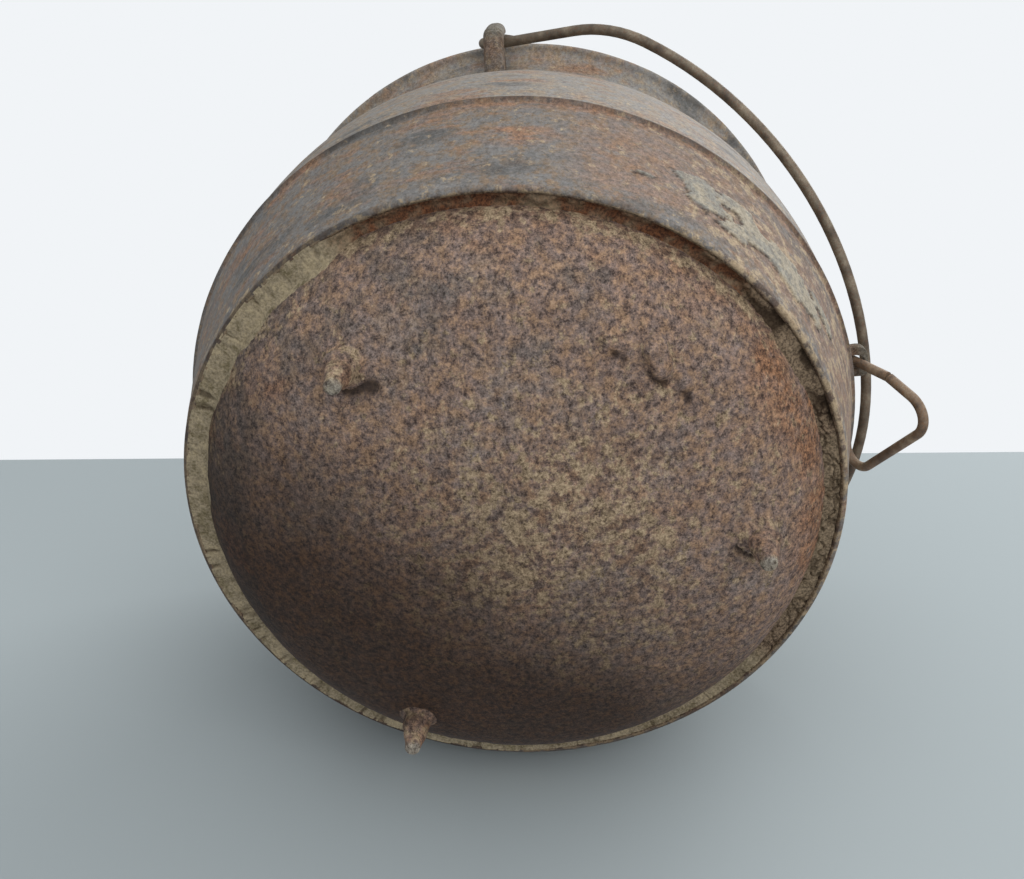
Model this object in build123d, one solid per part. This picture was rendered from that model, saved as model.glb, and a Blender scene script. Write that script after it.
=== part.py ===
"""Round-bottomed cast-iron kettle on three stub feet, with a wire bail and a tipping ring.

The kettle is one iron casting: a dished bottom set inside a thin lip, a conical band up to a
moulding line, a smooth belly, a neck and a flared rim.  Each of these turned sections, and each
foot, ear and lug, is a node of its own that meets its neighbours face to face.  The bail and the
tipping ring are the two loose wires, and old mortar fills the recess between lip and bottom.

Millimetres.  +Z is up, the feet stand on z = 0, the kettle's axis is the Z axis, the ears lie on
the X axis and the tipping ring hangs on the -Y side.
"""
import math
import os

from build123d import *

# Shell: wall, dished bottom and the feet that carry it
WALL = 4.0
CROWN_RADIUS = 240.0        # large radius of the dished bottom
KNUCKLE_RADIUS = 40.0       # small radius round its edge
KNUCKLE_SLOPE = 70.0        # degrees from level where the bottom meets the ledge
FOOT_REACH = 2.9            # how far the feet stand below the bottom
LEDGE_DEPTH = 3.6           # recess of the ledge above the edge of the lip
LEDGE_WIDTH = 4.2           # from the bottom's edge to the lip
LIP_RADIUS = 112.4
LIP_THICKNESS = 2.2

# Shell: heights are above the edge of the lip
BAND_HEIGHT = 56.2          # conical band, up to the moulding line
BAND_FLARE = 15.0           # how much wider the band is at its top than at the lip
BEAD_HEIGHT = 2.6           # bevelled moulding line
BEAD_PROUD = 0.8
BELLY_HEIGHT = 93.0
BELLY_SWELL = 1.8           # belly outside the top of the band
SHOULDER_HEIGHT = 122.0
SHOULDER_INSET = 2.6        # shoulder inside the belly
NECK_HEIGHT = 146.0
NECK_INSET = 9.2            # neck inside the belly
RIM_HEIGHT = 181.9
RIM_OVERHANG = 9.5          # rim outside the neck
RIM_THICKNESS = 3.0
RIM_BEVEL = 0.9
FLARE_RISE = 13.9           # height over which the neck flares into the rim
FLARE_SLOPE = 48.0          # degrees from upright where the flare runs out under the rim

# Marks of the casting on the bottom: the gate, broken off in steps, and a fin
GATE_LENGTH = 27.0
GATE_WIDTH = 4.2
GATE_STEPS = (1.3, 2.1, 0.9)    # how far each third of the broken gate stands proud
GATE_INSET = 28.0               # from the bottom's edge
GATE_AZIMUTH = -142.0
GATE_TURN = -66.0
FIN_LENGTH = 15.0
FIN_WIDTH = 1.4
FIN_HEIGHT = 1.3
FIN_INSET = 38.0
FIN_AZIMUTH = -43.5
FIN_TURN = -57.0
MARK_CREST = 0.6                # width of a mark's crest as a share of its root

# Feet
FOOT_COUNT = 3
FOOT_INSET = 25.4           # from the bottom's edge to the middle of a foot
FIRST_FOOT_AZIMUTH = 30.2
FOOT_TIP_RADIUS = 2.6
FOOT_BASE_RADIUS = 4.4
FOOT_ROOT_RADIUS = 8.6      # flare where the foot runs into the bottom
FOOT_ROOT_HEIGHT = 5.6
FOOT_TIP_BEVEL = 0.7

# Mortar left in the recess
CRUST_SETBACK = 1.0         # how far it lies behind the edge of the lip

# Ears: a strap bent to an elbow, whose round upper bar carries the bail
BAR_DROP = 12.2             # below the top of the rim
BAR_RADIUS = 3.2
EAR_WIDTH = 8.8
EAR_THICKNESS = 4.5
EAR_HOOK_GAP = 0.8          # clearance between strap and hook
EAR_EYE_DEPTH = 12.4        # room under the bar at the elbow, for the hook
EAR_LEG_DROP = 16.5         # how far the leg falls between elbow and neck
EAR_BEND = 5.6              # radius of the elbow, in the middle of the strap
EAR_CROWN = 3.6             # rounding of its outer edges

# Bail: round wire, hooked over the bars
BAIL_WIRE_RADIUS = 2.05
BAIL_CLEARANCE = 0.4        # between hook and bar
BAIL_RIM_GAP = 0.6          # clearance between the legs and the rim
HOOK_STRAIGHT = 5.0
HOOK_TIP_STRAIGHT = 1.5
HOOK_TIP_TAPER = 6.0
HOOK_TIP_RADIUS = 1.0
LEG_SPREAD = 4.4            # how far the legs lean out, up to the bow
LEG_RISE = 55.0
LEG_BEND = 59.0             # radius of the bend there
CROWN_CLEARANCE = 33.1      # the bow's height above the hinge, beyond the belly's radius
CROWN_SHIFT = 15.0          # the old bow leans this far towards +X
BAIL_RING_GAP = 0.5         # height of the folded bail's crown over the tipping ring

# Lug of the tipping ring
LUG_DROP = 11.1             # middle of the plate, below the widest part of the belly
LUG_AZIMUTH = -93.8
LUG_THICKNESS = 4.0
LUG_WIDTH = 13.2
LUG_HOLE_RADIUS = 3.9
LUG_HOLE_STANDOFF = 4.7     # middle of the hole outside the belly
LUG_NOSE = 5.4              # plate beyond the middle of the hole
LUG_CORNER = 2.0
LUG_WORN_CORNER = 4.6       # the corner that the ring has worn round

# Tipping ring: a three-cornered link of round wire, bent shut with a butt joint
RING_WIRE_RADIUS = 1.9
RING_DIP = 60.0             # degrees its plane drops below level
RING_LIFT = 0.35            # clearance between the wire and the top of the lug
RING_NEAR_LEG = 49.7        # length from the lug's corner to the outer corner
RING_LEAN = 4.4             # degrees that leg leans sideways up to its butt joint
RING_KINK = 17.0            # further degrees beyond the joint
RING_TOP_LEG = 58.0         # length of the leg that lies above the lug
RING_NEAR_BEND = 3.8
RING_OUTER_BEND = 9.2
RING_FAR_BEND = 7.0
RING_JOINT = 23.4           # butt joint, from the lug's corner
RING_JOINT_GAP = 0.9

# Radii that follow
ROOT_RADIUS = LIP_RADIUS - LIP_THICKNESS - LEDGE_WIDTH
BAND_TOP_RADIUS = LIP_RADIUS + BAND_FLARE
BELLY_RADIUS = BAND_TOP_RADIUS + BELLY_SWELL
SHOULDER_RADIUS = BELLY_RADIUS - SHOULDER_INSET
NECK_RADIUS = BELLY_RADIUS - NECK_INSET
RIM_RADIUS = NECK_RADIUS + RIM_OVERHANG
FOOT_CIRCLE = ROOT_RADIUS - FOOT_INSET
HOOK_OFFSET = BAR_RADIUS + BAIL_CLEARANCE + BAIL_WIRE_RADIUS
HOOK_X = RIM_RADIUS + BAIL_RIM_GAP + BAIL_WIRE_RADIUS
LEG_X = HOOK_X + LEG_SPREAD
CROWN_RISE = BELLY_RADIUS + CROWN_CLEARANCE
EAR_REACH = HOOK_X + BAIL_WIRE_RADIUS + EAR_HOOK_GAP + EAR_THICKNESS
LUG_HOLE_CIRCLE = BELLY_RADIUS + LUG_HOLE_STANDOFF

# Levels that follow
KNUCKLE_SINE = math.sin(math.radians(KNUCKLE_SLOPE))
KNUCKLE_COSINE = math.cos(math.radians(KNUCKLE_SLOPE))
KNUCKLE_CENTRE_R = ROOT_RADIUS - KNUCKLE_RADIUS * KNUCKLE_SINE
CROWN_SLOPE = math.degrees(math.asin(KNUCKLE_CENTRE_R / (CROWN_RADIUS - KNUCKLE_RADIUS)))
CROWN_CENTRE_Z = FOOT_REACH + CROWN_RADIUS
KNUCKLE_CENTRE_Z = CROWN_CENTRE_Z - (CROWN_RADIUS - KNUCKLE_RADIUS) * math.cos(math.radians(CROWN_SLOPE))
LEDGE_Z = KNUCKLE_CENTRE_Z - KNUCKLE_RADIUS * KNUCKLE_COSINE
FLOOR_Z = LEDGE_Z + WALL
INNER_SLOPE = math.degrees(math.acos((KNUCKLE_CENTRE_Z - FLOOR_Z) / (KNUCKLE_RADIUS - WALL)))
LIP_Z = LEDGE_Z - LEDGE_DEPTH
BAND_TOP_Z = LIP_Z + BAND_HEIGHT
NECK_Z = LIP_Z + NECK_HEIGHT
RIM_Z = LIP_Z + RIM_HEIGHT
BAR_Z = RIM_Z - BAR_DROP
LUG_Z = LIP_Z + BELLY_HEIGHT - LUG_DROP
RING_TOP_Z = LUG_Z + LUG_THICKNESS / 2 + RING_LIFT + 2 * RING_WIRE_RADIUS

# Degrees from upright at which the bail lies folded down on the -Y side, just above the ring
CROWN_DROP = BAR_Z - RING_TOP_Z - BAIL_RING_GAP - BAIL_WIRE_RADIUS
CROWN_LEAN = math.degrees(math.atan(HOOK_OFFSET / CROWN_RISE))
BAIL_REST = 90 + math.degrees(math.asin(CROWN_DROP / math.hypot(CROWN_RISE, HOOK_OFFSET))) - CROWN_LEAN


def polar(radius, azimuth, z=0.0):
    """Point at a distance and azimuth (degrees) from the kettle's axis."""
    angle = math.radians(azimuth)
    return Vector(radius * math.cos(angle), radius * math.sin(angle), z)


def bottom_z(radius):
    """Height of the outside of the crown at a distance from the axis."""
    return CROWN_CENTRE_Z - math.sqrt(CROWN_RADIUS**2 - radius**2)


def dish_arcs(inset, last_slope):
    """Crown and knuckle arcs of the bottom, inset from the outside, in the XZ plane."""
    crown = CenterArc((0, CROWN_CENTRE_Z), CROWN_RADIUS - inset, -90, CROWN_SLOPE)
    knuckle = CenterArc(
        (KNUCKLE_CENTRE_R, KNUCKLE_CENTRE_Z),
        KNUCKLE_RADIUS - inset,
        -90 + CROWN_SLOPE,
        last_slope - CROWN_SLOPE,
    )
    return crown, knuckle


def outline(points):
    """Closed face of straight runs through points given as radius and height."""
    return make_face(Polyline(*points, close=True))


def cone_radius(z):
    """Outside radius of the conical band at a height."""
    return LIP_RADIUS + (BAND_TOP_RADIUS - LIP_RADIUS) * (z - LIP_Z) / BAND_HEIGHT


def lip_lines():
    """Ledge, lip and the foot of the conical band, from the knuckle to the floor's level."""
    lip_inner = LIP_RADIUS - LIP_THICKNESS
    return [
        Line((ROOT_RADIUS, LEDGE_Z), (lip_inner, LEDGE_Z)),
        Line((lip_inner, LEDGE_Z), (lip_inner, LIP_Z)),
        Line((lip_inner, LIP_Z), (LIP_RADIUS, LIP_Z)),
        Line((LIP_RADIUS, LIP_Z), (cone_radius(FLOOR_Z), FLOOR_Z)),
    ]


def bottom_outline():
    """Section of the dished bottom with its ledge and lip."""
    crown, knuckle = dish_arcs(0, KNUCKLE_SLOPE)
    inner_crown, inner_knuckle = dish_arcs(WALL, INNER_SLOPE)
    edges = [
        crown,
        knuckle,
        *lip_lines(),
        Line((cone_radius(FLOOR_Z), FLOOR_Z), inner_knuckle @ 1),
        inner_knuckle,
        inner_crown,
        Line((0, CROWN_CENTRE_Z - CROWN_RADIUS), (0, CROWN_CENTRE_Z - CROWN_RADIUS + WALL)),
    ]
    return make_face(edges)


def band_outline():
    """Section of the conical band with the moulding line at its top."""
    bead_z = BAND_TOP_Z - BEAD_HEIGHT
    bead_r = BAND_TOP_RADIUS + BEAD_PROUD
    return outline(
        [
            (cone_radius(FLOOR_Z), FLOOR_Z),
            (cone_radius(bead_z), bead_z),
            (bead_r, bead_z + BEAD_PROUD),
            (bead_r, BAND_TOP_Z - BEAD_PROUD / 2),
            (BAND_TOP_RADIUS, BAND_TOP_Z),
            (BAND_TOP_RADIUS - WALL, BAND_TOP_Z),
            (cone_radius(FLOOR_Z) - WALL, FLOOR_Z),
        ]
    )


def belly_curve(inset):
    """Smooth curve of the belly and shoulder from the moulding line to the neck."""
    return Spline(
        (BAND_TOP_RADIUS - inset, BAND_TOP_Z),
        (BELLY_RADIUS - inset, LIP_Z + BELLY_HEIGHT),
        (SHOULDER_RADIUS - inset, LIP_Z + SHOULDER_HEIGHT),
        (NECK_RADIUS - inset, NECK_Z),
        tangents=[(0.12, 1), (0, 1)],
    )


def belly_outline():
    """Section of the belly."""
    return make_face(
        [
            belly_curve(0),
            Line((NECK_RADIUS, NECK_Z), (NECK_RADIUS - WALL, NECK_Z)),
            belly_curve(WALL),
            Line((BAND_TOP_RADIUS - WALL, BAND_TOP_Z), (BAND_TOP_RADIUS, BAND_TOP_Z)),
        ]
    )


def rim_lines():
    """Neck, flare and bevelled flat rim, from the outside of the neck to the inside of the neck."""
    under_z = RIM_Z - RIM_THICKNESS
    bore = NECK_RADIUS - WALL
    flare_z = under_z - FLARE_RISE
    radius = FLARE_RISE / math.sin(math.radians(FLARE_SLOPE))
    flare = CenterArc((NECK_RADIUS + radius, flare_z), radius, 180, -FLARE_SLOPE)
    inner_radius = radius + RIM_THICKNESS / math.sin(math.radians(FLARE_SLOPE))
    inner = CenterArc((bore + inner_radius, flare_z), inner_radius, 180, -FLARE_SLOPE)
    corners = [
        flare @ 1,
        (RIM_RADIUS - RIM_BEVEL, under_z),
        (RIM_RADIUS, under_z + RIM_BEVEL),
        (RIM_RADIUS, RIM_Z - RIM_BEVEL),
        (RIM_RADIUS - RIM_BEVEL, RIM_Z),
        inner @ 1,
    ]
    return [
        Line((NECK_RADIUS, NECK_Z), flare @ 0),
        flare,
        *[Line(start, end) for start, end in zip(corners, corners[1:])],
        inner,
        Line(inner @ 0, (bore, NECK_Z)),
    ]


def rim_outline():
    """Section of the neck and the flared rim."""
    return make_face([*rim_lines(), Line((NECK_RADIUS - WALL, NECK_Z), (NECK_RADIUS, NECK_Z))])


def filled_outline():
    """The kettle's section without its hollow: everything inside the outer skin."""
    crown, knuckle = dish_arcs(0, KNUCKLE_SLOPE)
    edges = [
        crown,
        knuckle,
        *lip_lines(),
        Line((cone_radius(FLOOR_Z), FLOOR_Z), (BAND_TOP_RADIUS, BAND_TOP_Z)),
        belly_curve(0),
        *rim_lines()[:6],
        Line((RIM_RADIUS - RIM_BEVEL, RIM_Z), (0, RIM_Z)),
        Line((0, RIM_Z), (0, CROWN_CENTRE_Z - CROWN_RADIUS)),
    ]
    return make_face(edges)


def turned(section):
    """Solid of revolution of a section drawn with x as radius and y as height."""
    return revolve(Plane.XZ * section, Axis.Z)


def mark_seat(inset, azimuth, turn):
    """Plane on the bottom's outside at an inset from its edge, z into the kettle, x along the mark."""
    distance = ROOT_RADIUS - inset
    lean = math.degrees(math.asin(distance / CROWN_RADIUS))
    origin = polar(distance, azimuth, bottom_z(distance))
    return Plane(origin=origin, x_dir=polar(1, azimuth), z_dir=(0, 0, 1)) * Rot(Y=-lean) * Rot(Z=turn)


def ridge(length, width, height, middle=0.0):
    """Tapered ridge that stands proud below z = 0 and is rooted half a wall above it."""
    crest = width * MARK_CREST
    root = RectangleRounded(length, width, width * 0.45)
    top = RectangleRounded(length - width + crest, crest, crest * 0.45)
    return loft([Pos(middle, 0, WALL / 2) * root, Pos(middle, 0, -height) * top])


def build_bottom():
    """Dished bottom with its ledge, lip, broken gate and fin."""
    bottom = turned(bottom_outline())
    gate = mark_seat(GATE_INSET, GATE_AZIMUTH, GATE_TURN)
    step = GATE_LENGTH / len(GATE_STEPS)
    for number, height in enumerate(GATE_STEPS):
        middle = (number + 0.5) * step - GATE_LENGTH / 2
        bottom += gate * ridge(step + GATE_WIDTH / 2, GATE_WIDTH, height, middle)
    bottom += mark_seat(FIN_INSET, FIN_AZIMUTH, FIN_TURN) * ridge(FIN_LENGTH, FIN_WIDTH, FIN_HEIGHT)
    return bottom


def build_crust(bottom):
    """Ring of old mortar that fills the recess between lip and bottom."""
    inner = ROOT_RADIUS - WALL / 2
    low = LIP_Z + CRUST_SETBACK
    high = LEDGE_Z + WALL / 2
    section = Pos((inner + LIP_RADIUS) / 2, (low + high) / 2) * Rectangle(LIP_RADIUS - inner, high - low)
    return turned(section) - bottom


def build_foot(azimuth, filled):
    """Tapered stub foot that stands straight down on z = 0, with a root that flares into the bottom."""
    seat = bottom_z(FOOT_CIRCLE)
    stem = outline(
        [
            (0, 0),
            (FOOT_TIP_RADIUS - FOOT_TIP_BEVEL, 0),
            (FOOT_TIP_RADIUS, FOOT_TIP_BEVEL),
            (FOOT_BASE_RADIUS, seat + WALL / 2),
            (0, seat + WALL / 2),
        ]
    )
    flare = Spline(
        (FOOT_BASE_RADIUS - FOOT_ROOT_HEIGHT / 8, -FOOT_ROOT_HEIGHT),
        (FOOT_ROOT_RADIUS, WALL / 8),
        tangents=[(FOOT_BASE_RADIUS - FOOT_TIP_RADIUS, seat), (2, 1)],
    )
    root = make_face([flare, Polyline(flare @ 1, (0, WALL / 8), (0, -FOOT_ROOT_HEIGHT), flare @ 0)])
    foot = Pos(polar(FOOT_CIRCLE, azimuth)) * turned(stem)
    return foot + mark_seat(FOOT_INSET, azimuth, 0) * turned(root) - filled


def build_ear(filled):
    """Ear on the -X side: a strap with a rounded outer face, bent to an elbow, and its round bar."""
    sunk = NECK_RADIUS - WALL / 2
    inner = EAR_REACH - EAR_THICKNESS
    middle = EAR_REACH - EAR_THICKNESS / 2
    eye_z = BAR_Z - EAR_EYE_DEPTH
    leg_angle = math.atan2(EAR_LEG_DROP, inner - sunk)
    below = EAR_THICKNESS / 2 / math.cos(leg_angle)
    elbow_z = eye_z - below + EAR_THICKNESS / 2 * math.tan(leg_angle)
    path = FilletPolyline(
        (sunk, 0, eye_z - EAR_LEG_DROP - below),
        (middle, 0, elbow_z),
        (middle, 0, BAR_Z + BAR_RADIUS),
        radius=EAR_BEND,
    )
    section = Rectangle(EAR_THICKNESS, EAR_WIDTH)
    section = fillet(section.vertices().group_by(Axis.X)[-1], EAR_CROWN)
    strap = sweep(Plane(origin=path @ 1, x_dir=(1, 0, 0), z_dir=(0, 0, 1)) * section, path)
    bar_length = middle - sunk
    bar = Pos(sunk + bar_length / 2, 0, BAR_Z) * Rot(Y=90) * Cylinder(BAR_RADIUS, bar_length)
    return Rot(Z=180) * (strap + bar - filled)


def hooked_leg(side):
    """Hook and leg of the bail as path edges, upright, hinge at the origin; side is -1 or 1."""
    start = Vector(side * HOOK_X, -HOOK_OFFSET, 0)
    bend = start + Vector(0, 0, HOOK_STRAIGHT)
    end = Vector(side * HOOK_X, HOOK_OFFSET, 0)
    middle = Vector(side * HOOK_X, 0, -HOOK_OFFSET)
    tip = end + Vector(0, 0, HOOK_TIP_STRAIGHT)
    return tip, end, middle, start, bend


def bow_arc(side):
    """Arc of the bow from a leg's top to the crown, as centre, radius and leg's top."""
    run = LEG_X + CROWN_SHIFT if side < 0 else LEG_X - CROWN_SHIFT
    rise = CROWN_RISE - LEG_RISE
    radius = (run**2 + rise**2) / (2 * rise)
    centre = Vector(CROWN_SHIFT, -HOOK_OFFSET, CROWN_RISE - radius)
    foot = Vector(side * LEG_X, -HOOK_OFFSET, LEG_RISE)
    crown = Vector(CROWN_SHIFT, -HOOK_OFFSET, CROWN_RISE)
    half = ((foot - centre).normalized() + (crown - centre).normalized()).normalized()
    return ThreePointArc(foot, centre + half * radius, crown)


def bail_path():
    """Centre line of the bail, upright, from one hook's tip to the other's."""
    left_tip, left_end, left_middle, left_start, left_bend = hooked_leg(-1)
    right_tip, right_end, right_middle, right_start, right_bend = hooked_leg(1)
    left_arc = bow_arc(-1)
    right_arc = bow_arc(1)
    plane_wire = Wire(
        [
            Edge.make_line(left_start, left_bend),
            Edge.make_line(left_bend, left_arc @ 0),
            left_arc.edge(),
            right_arc.edge(),
            Edge.make_line(right_arc @ 0, right_bend),
            Edge.make_line(right_bend, right_start),
        ]
    )
    corners = [v for v in plane_wire.vertices() if abs(abs(v.X) - LEG_X) < 0.01]
    plane_wire = plane_wire.fillet_2d(LEG_BEND, corners)
    bends = [v for v in plane_wire.vertices() if abs(v.Z - HOOK_STRAIGHT) < 0.01]
    plane_wire = plane_wire.fillet_2d(2 * HOOK_STRAIGHT, bends)
    hooks = [
        Edge.make_line(left_tip, left_end),
        ThreePointArc(left_end, left_middle, left_start).edge(),
        ThreePointArc(right_start, right_middle, right_end).edge(),
        Edge.make_line(right_end, right_tip),
    ]
    return Wire([*hooks[:2], *plane_wire.edges(), *hooks[2:]])


def build_bail():
    """Bail wire with forged, tapering hook tips, turned to where it rests."""
    path = bail_path()
    tips = [hooked_leg(side)[0] for side in (-1, 1)]
    profile = Plane(origin=tips[0], z_dir=(0, 0, 1)) * Circle(BAIL_WIRE_RADIUS)
    bail = sweep(profile, path)
    for tip in tips:
        taper = Cone(
            BAIL_WIRE_RADIUS, HOOK_TIP_RADIUS, HOOK_TIP_TAPER, align=(Align.CENTER, Align.CENTER, Align.MIN)
        )
        bail += Pos(tip) * taper
    return Pos(0, 0, BAR_Z) * Rot(X=BAIL_REST) * bail


def lug_seat():
    """Plane at the middle of the lug's hole, x outward and z up."""
    origin = polar(LUG_HOLE_CIRCLE, LUG_AZIMUTH, LUG_Z)
    return Plane(origin=origin, x_dir=polar(1, LUG_AZIMUTH), z_dir=(0, 0, 1))


def build_lug(filled):
    """Flat eye lug for the tipping ring."""
    inner = BELLY_RADIUS - WALL - LUG_HOLE_CIRCLE
    plate = Pos((inner + LUG_NOSE) / 2, 0, 0) * Box(LUG_NOSE - inner, LUG_WIDTH, LUG_THICKNESS)
    corners = plate.edges().filter_by(Axis.Z).group_by(Axis.X)[-1].sort_by(Axis.Y)
    plate = fillet(corners[-1], LUG_CORNER)
    plate = fillet(plate.edges().filter_by(Axis.Z).group_by(Axis.X)[-1].sort_by(Axis.Y)[0], LUG_WORN_CORNER)
    plate -= Cylinder(LUG_HOLE_RADIUS, LUG_THICKNESS)
    return lug_seat() * plate - filled


def build_ring():
    """Three-cornered tipping ring, open by a hair at its butt joint."""
    dip = math.radians(RING_DIP)
    above = (LUG_THICKNESS / 2 + RING_LIFT + RING_WIRE_RADIUS) / math.sin(dip)
    seat = lug_seat()
    drop = seat.x_dir * math.cos(dip) - Vector(0, 0, math.sin(dip))
    plane = Plane(origin=seat.origin, x_dir=seat.y_dir, z_dir=seat.y_dir.cross(drop))
    lean = math.radians(RING_LEAN)
    kinked = math.radians(RING_LEAN + RING_KINK)
    near = Vector(-above * math.tan(lean), -above)
    along = Vector(math.sin(lean), math.cos(lean))
    beyond = Vector(math.sin(kinked), math.cos(kinked))
    joint = near + along * RING_JOINT
    outer = joint + beyond * (RING_NEAR_LEG - RING_JOINT)
    far = near + Vector(RING_TOP_LEG, 0)
    start = joint + beyond * RING_JOINT_GAP / 2
    end = joint - along * RING_JOINT_GAP / 2
    bends = [RING_OUTER_BEND, RING_FAR_BEND, RING_NEAR_BEND]
    path = FilletPolyline(start, outer, far, near, end, radius=bends)
    profile = Plane(origin=path @ 0, z_dir=path % 0) * Circle(RING_WIRE_RADIUS)
    return plane * sweep(profile, path)


def main():
    """Build every node and write it to parts/."""
    os.makedirs("parts", exist_ok=True)
    bottom = build_bottom()
    filled = Rot(Z=90) * turned(filled_outline())
    ear = build_ear(filled)
    nodes = {
        "bottom": bottom,
        "lower_band": turned(band_outline()),
        "belly": turned(belly_outline()),
        "rim": turned(rim_outline()),
        "ledge_crust": build_crust(bottom),
        "ear_left": ear,
        "ear_right": Rot(Z=180) * ear,
        "bail": build_bail(),
        "ring_lug": build_lug(filled),
        "tipping_ring": build_ring(),
    }
    for number in range(FOOT_COUNT):
        azimuth = FIRST_FOOT_AZIMUTH + number * 360 / FOOT_COUNT
        nodes[f"foot_{number + 1}"] = build_foot(azimuth, filled)
    boxes = [solid.bounding_box() for solid in nodes.values()]
    shift_x = -(min(b.min.X for b in boxes) + max(b.max.X for b in boxes)) / 2
    shift_y = -(min(b.min.Y for b in boxes) + max(b.max.Y for b in boxes)) / 2
    for name, solid in nodes.items():
        export_step(Pos(shift_x, shift_y, 0) * solid, f"parts/{name}.step")
    print(f"kettle's axis at x {shift_x:.3f}, y {shift_y:.3f}")
    print(f"lip {LIP_Z:.3f}, rim {RIM_Z:.3f}, bar {BAR_Z:.3f}, lug {LUG_Z:.3f}")


main()
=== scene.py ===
"""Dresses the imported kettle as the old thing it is: sand-cast iron, rust, dry mortar and wire.

Every size is in metres, apart from names that end in _mm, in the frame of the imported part: +Z up,
feet on z = 0, bail ears along X, the tipping ring on the -Y side.  Azimuths are in degrees.
"""

from __future__ import annotations

import logging
import math
from collections.abc import Callable
from dataclasses import dataclass, field
from enum import Enum
from itertools import product

import bpy
import numpy as np
from mathutils import Matrix, Vector

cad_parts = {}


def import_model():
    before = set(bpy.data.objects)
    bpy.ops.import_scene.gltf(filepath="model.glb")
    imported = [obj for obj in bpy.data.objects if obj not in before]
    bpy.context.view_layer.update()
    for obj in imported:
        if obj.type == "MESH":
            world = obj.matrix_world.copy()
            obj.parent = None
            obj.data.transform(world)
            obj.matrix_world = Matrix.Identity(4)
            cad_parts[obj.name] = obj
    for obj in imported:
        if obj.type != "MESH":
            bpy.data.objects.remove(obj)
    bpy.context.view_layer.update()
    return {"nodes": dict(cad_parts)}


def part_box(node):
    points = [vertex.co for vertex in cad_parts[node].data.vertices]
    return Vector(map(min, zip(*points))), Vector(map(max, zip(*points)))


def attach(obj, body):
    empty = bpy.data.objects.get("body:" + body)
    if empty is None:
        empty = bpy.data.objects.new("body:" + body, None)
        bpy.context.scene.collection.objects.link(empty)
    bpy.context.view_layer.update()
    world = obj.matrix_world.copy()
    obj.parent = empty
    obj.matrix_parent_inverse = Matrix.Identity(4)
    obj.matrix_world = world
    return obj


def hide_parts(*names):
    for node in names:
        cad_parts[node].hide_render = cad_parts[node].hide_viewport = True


MM = 0.001
AXIS_Y = 12.350 * MM        # the kettle's own axis lies this far from the origin
LIP_Z = 37.684 * MM         # edge of the lip
LIP_RADIUS = 112.4 * MM
FLARE = 15.0 / 56.2         # how fast the band widens above the lip
WALL = 4 * MM               # thickness of the casting
FOOT_CIRCLE = 80.6 * MM     # distance of the feet from the axis
FOOT_AZIMUTHS = (30.2, 150.2, 270.2)
LUG_AZIMUTH = -93.8
LUG_HOLE_CIRCLE = 133.9 * MM        # distance of the ring lug's hole from the axis
SHARP_ANGLE = math.radians(50)      # faces that meet at more than this keep a sharp edge
SCRAMBLE = np.array((73856093, 19349663, 83492791))     # large primes, one for each axis of a cell
LOG = logging.getLogger("kettle")

Profile = list[tuple[float, float]]
Spot = tuple[float, float, float, float, float]
Field = Callable[[np.ndarray], np.ndarray]
Piece = bpy.types.Object
Material = bpy.types.Material
Socket = bpy.types.NodeSocket
Tree = bpy.types.NodeTree


class Zone(Enum):
    """Vertex values that steer the finishes, by the name of their mesh attribute; two also carry
    painted shade.
    """

    RUST = "rust"
    SOOT = "soot"
    DUST = "dust"
    WORN = "worn"
    # Cracks, and painted shade in pits, hollows and sunk mortar
    CRACK_AND_SHADE = "crack"
    # Darkens with dirt and with painted shade, mostly on the side that lies on the floor
    GRIME_AND_SHADE = "grime_and_shade"


# ---------------------------------------------------------------- noise and shape helpers


def lattice_noise(points: np.ndarray, size: float, seed: int) -> np.ndarray:
    """Smooth random values that change over a given size.

    Args:
        points: Positions, one per row.
        size: Distance over which the values change.
        seed: Picks the pattern.

    Returns:
        Values from -1 to 1, one per point.
    """
    scaled = points / size + seed * 17.31
    cell = np.floor(scaled)
    part = scaled - cell
    part = part * part * (3 - 2 * part)
    cell = cell.astype(np.int64)
    total = np.zeros(len(points))
    for corner in product((0, 1), repeat=3):
        at = cell + np.array(corner)
        code = np.bitwise_xor.reduce(at * SCRAMBLE, axis=1) ^ (seed * 2654435)
        code = (code ^ (code >> 13)) * 1274126177 & 0x7FFFFFFF
        code = (code ^ (code >> 15)) * 668265263 & 0x7FFFFFFF
        weight = np.prod(np.where(np.array(corner) == 1, part, 1 - part), axis=1)
        total += weight * (code / 0x3FFFFFFF - 1)
    return total


def rough(points: np.ndarray, size: float, seed: int, octaves: int = 3) -> np.ndarray:
    """Noise with finer and weaker noise on top, from about -1 to 1.

    Args:
        points: Positions, one per row.
        size: Coarsest size.
        seed: Picks the pattern.
        octaves: Layers, each half as coarse and half as strong as the last.

    Returns:
        One value per point.
    """
    total = np.zeros(len(points))
    strength = 1.0
    for layer in range(octaves):
        total += strength * lattice_noise(points, size / 2**layer, seed + layer)
        strength /= 2
    return total / (2 - 2 * strength)


def smooth_step(values: np.ndarray, low: float, high: float) -> np.ndarray:
    """Eased ramp from 0 at low to 1 at high, which may be the other way round."""
    ramp = np.clip((values - low) / (high - low), 0, 1)
    return ramp * ramp * (3 - 2 * ramp)


def azimuth(points: np.ndarray) -> np.ndarray:
    """Azimuth round the kettle's axis, in degrees from 0 to 360."""
    return np.degrees(np.arctan2(points[:, 1] - AXIS_Y, points[:, 0])) % 360


def radius_of(points: np.ndarray) -> np.ndarray:
    """Distance from the kettle's axis."""
    return np.hypot(points[:, 0], points[:, 1] - AXIS_Y)


def sector(points: np.ndarray, middle: float, half: float, edge: float = 12.0) -> np.ndarray:
    """1 within half a width of an azimuth, easing to 0 over an edge, all in degrees."""
    away = np.abs((azimuth(points) - middle + 180) % 360 - 180)
    return smooth_step(away, half + edge, half)


def polar(radius: float, degrees: float) -> Vector:
    """Point in plan at a distance and azimuth from the kettle's axis."""
    angle = math.radians(degrees)
    return Vector((radius * math.cos(angle), AXIS_Y + radius * math.sin(angle), 0))


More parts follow.
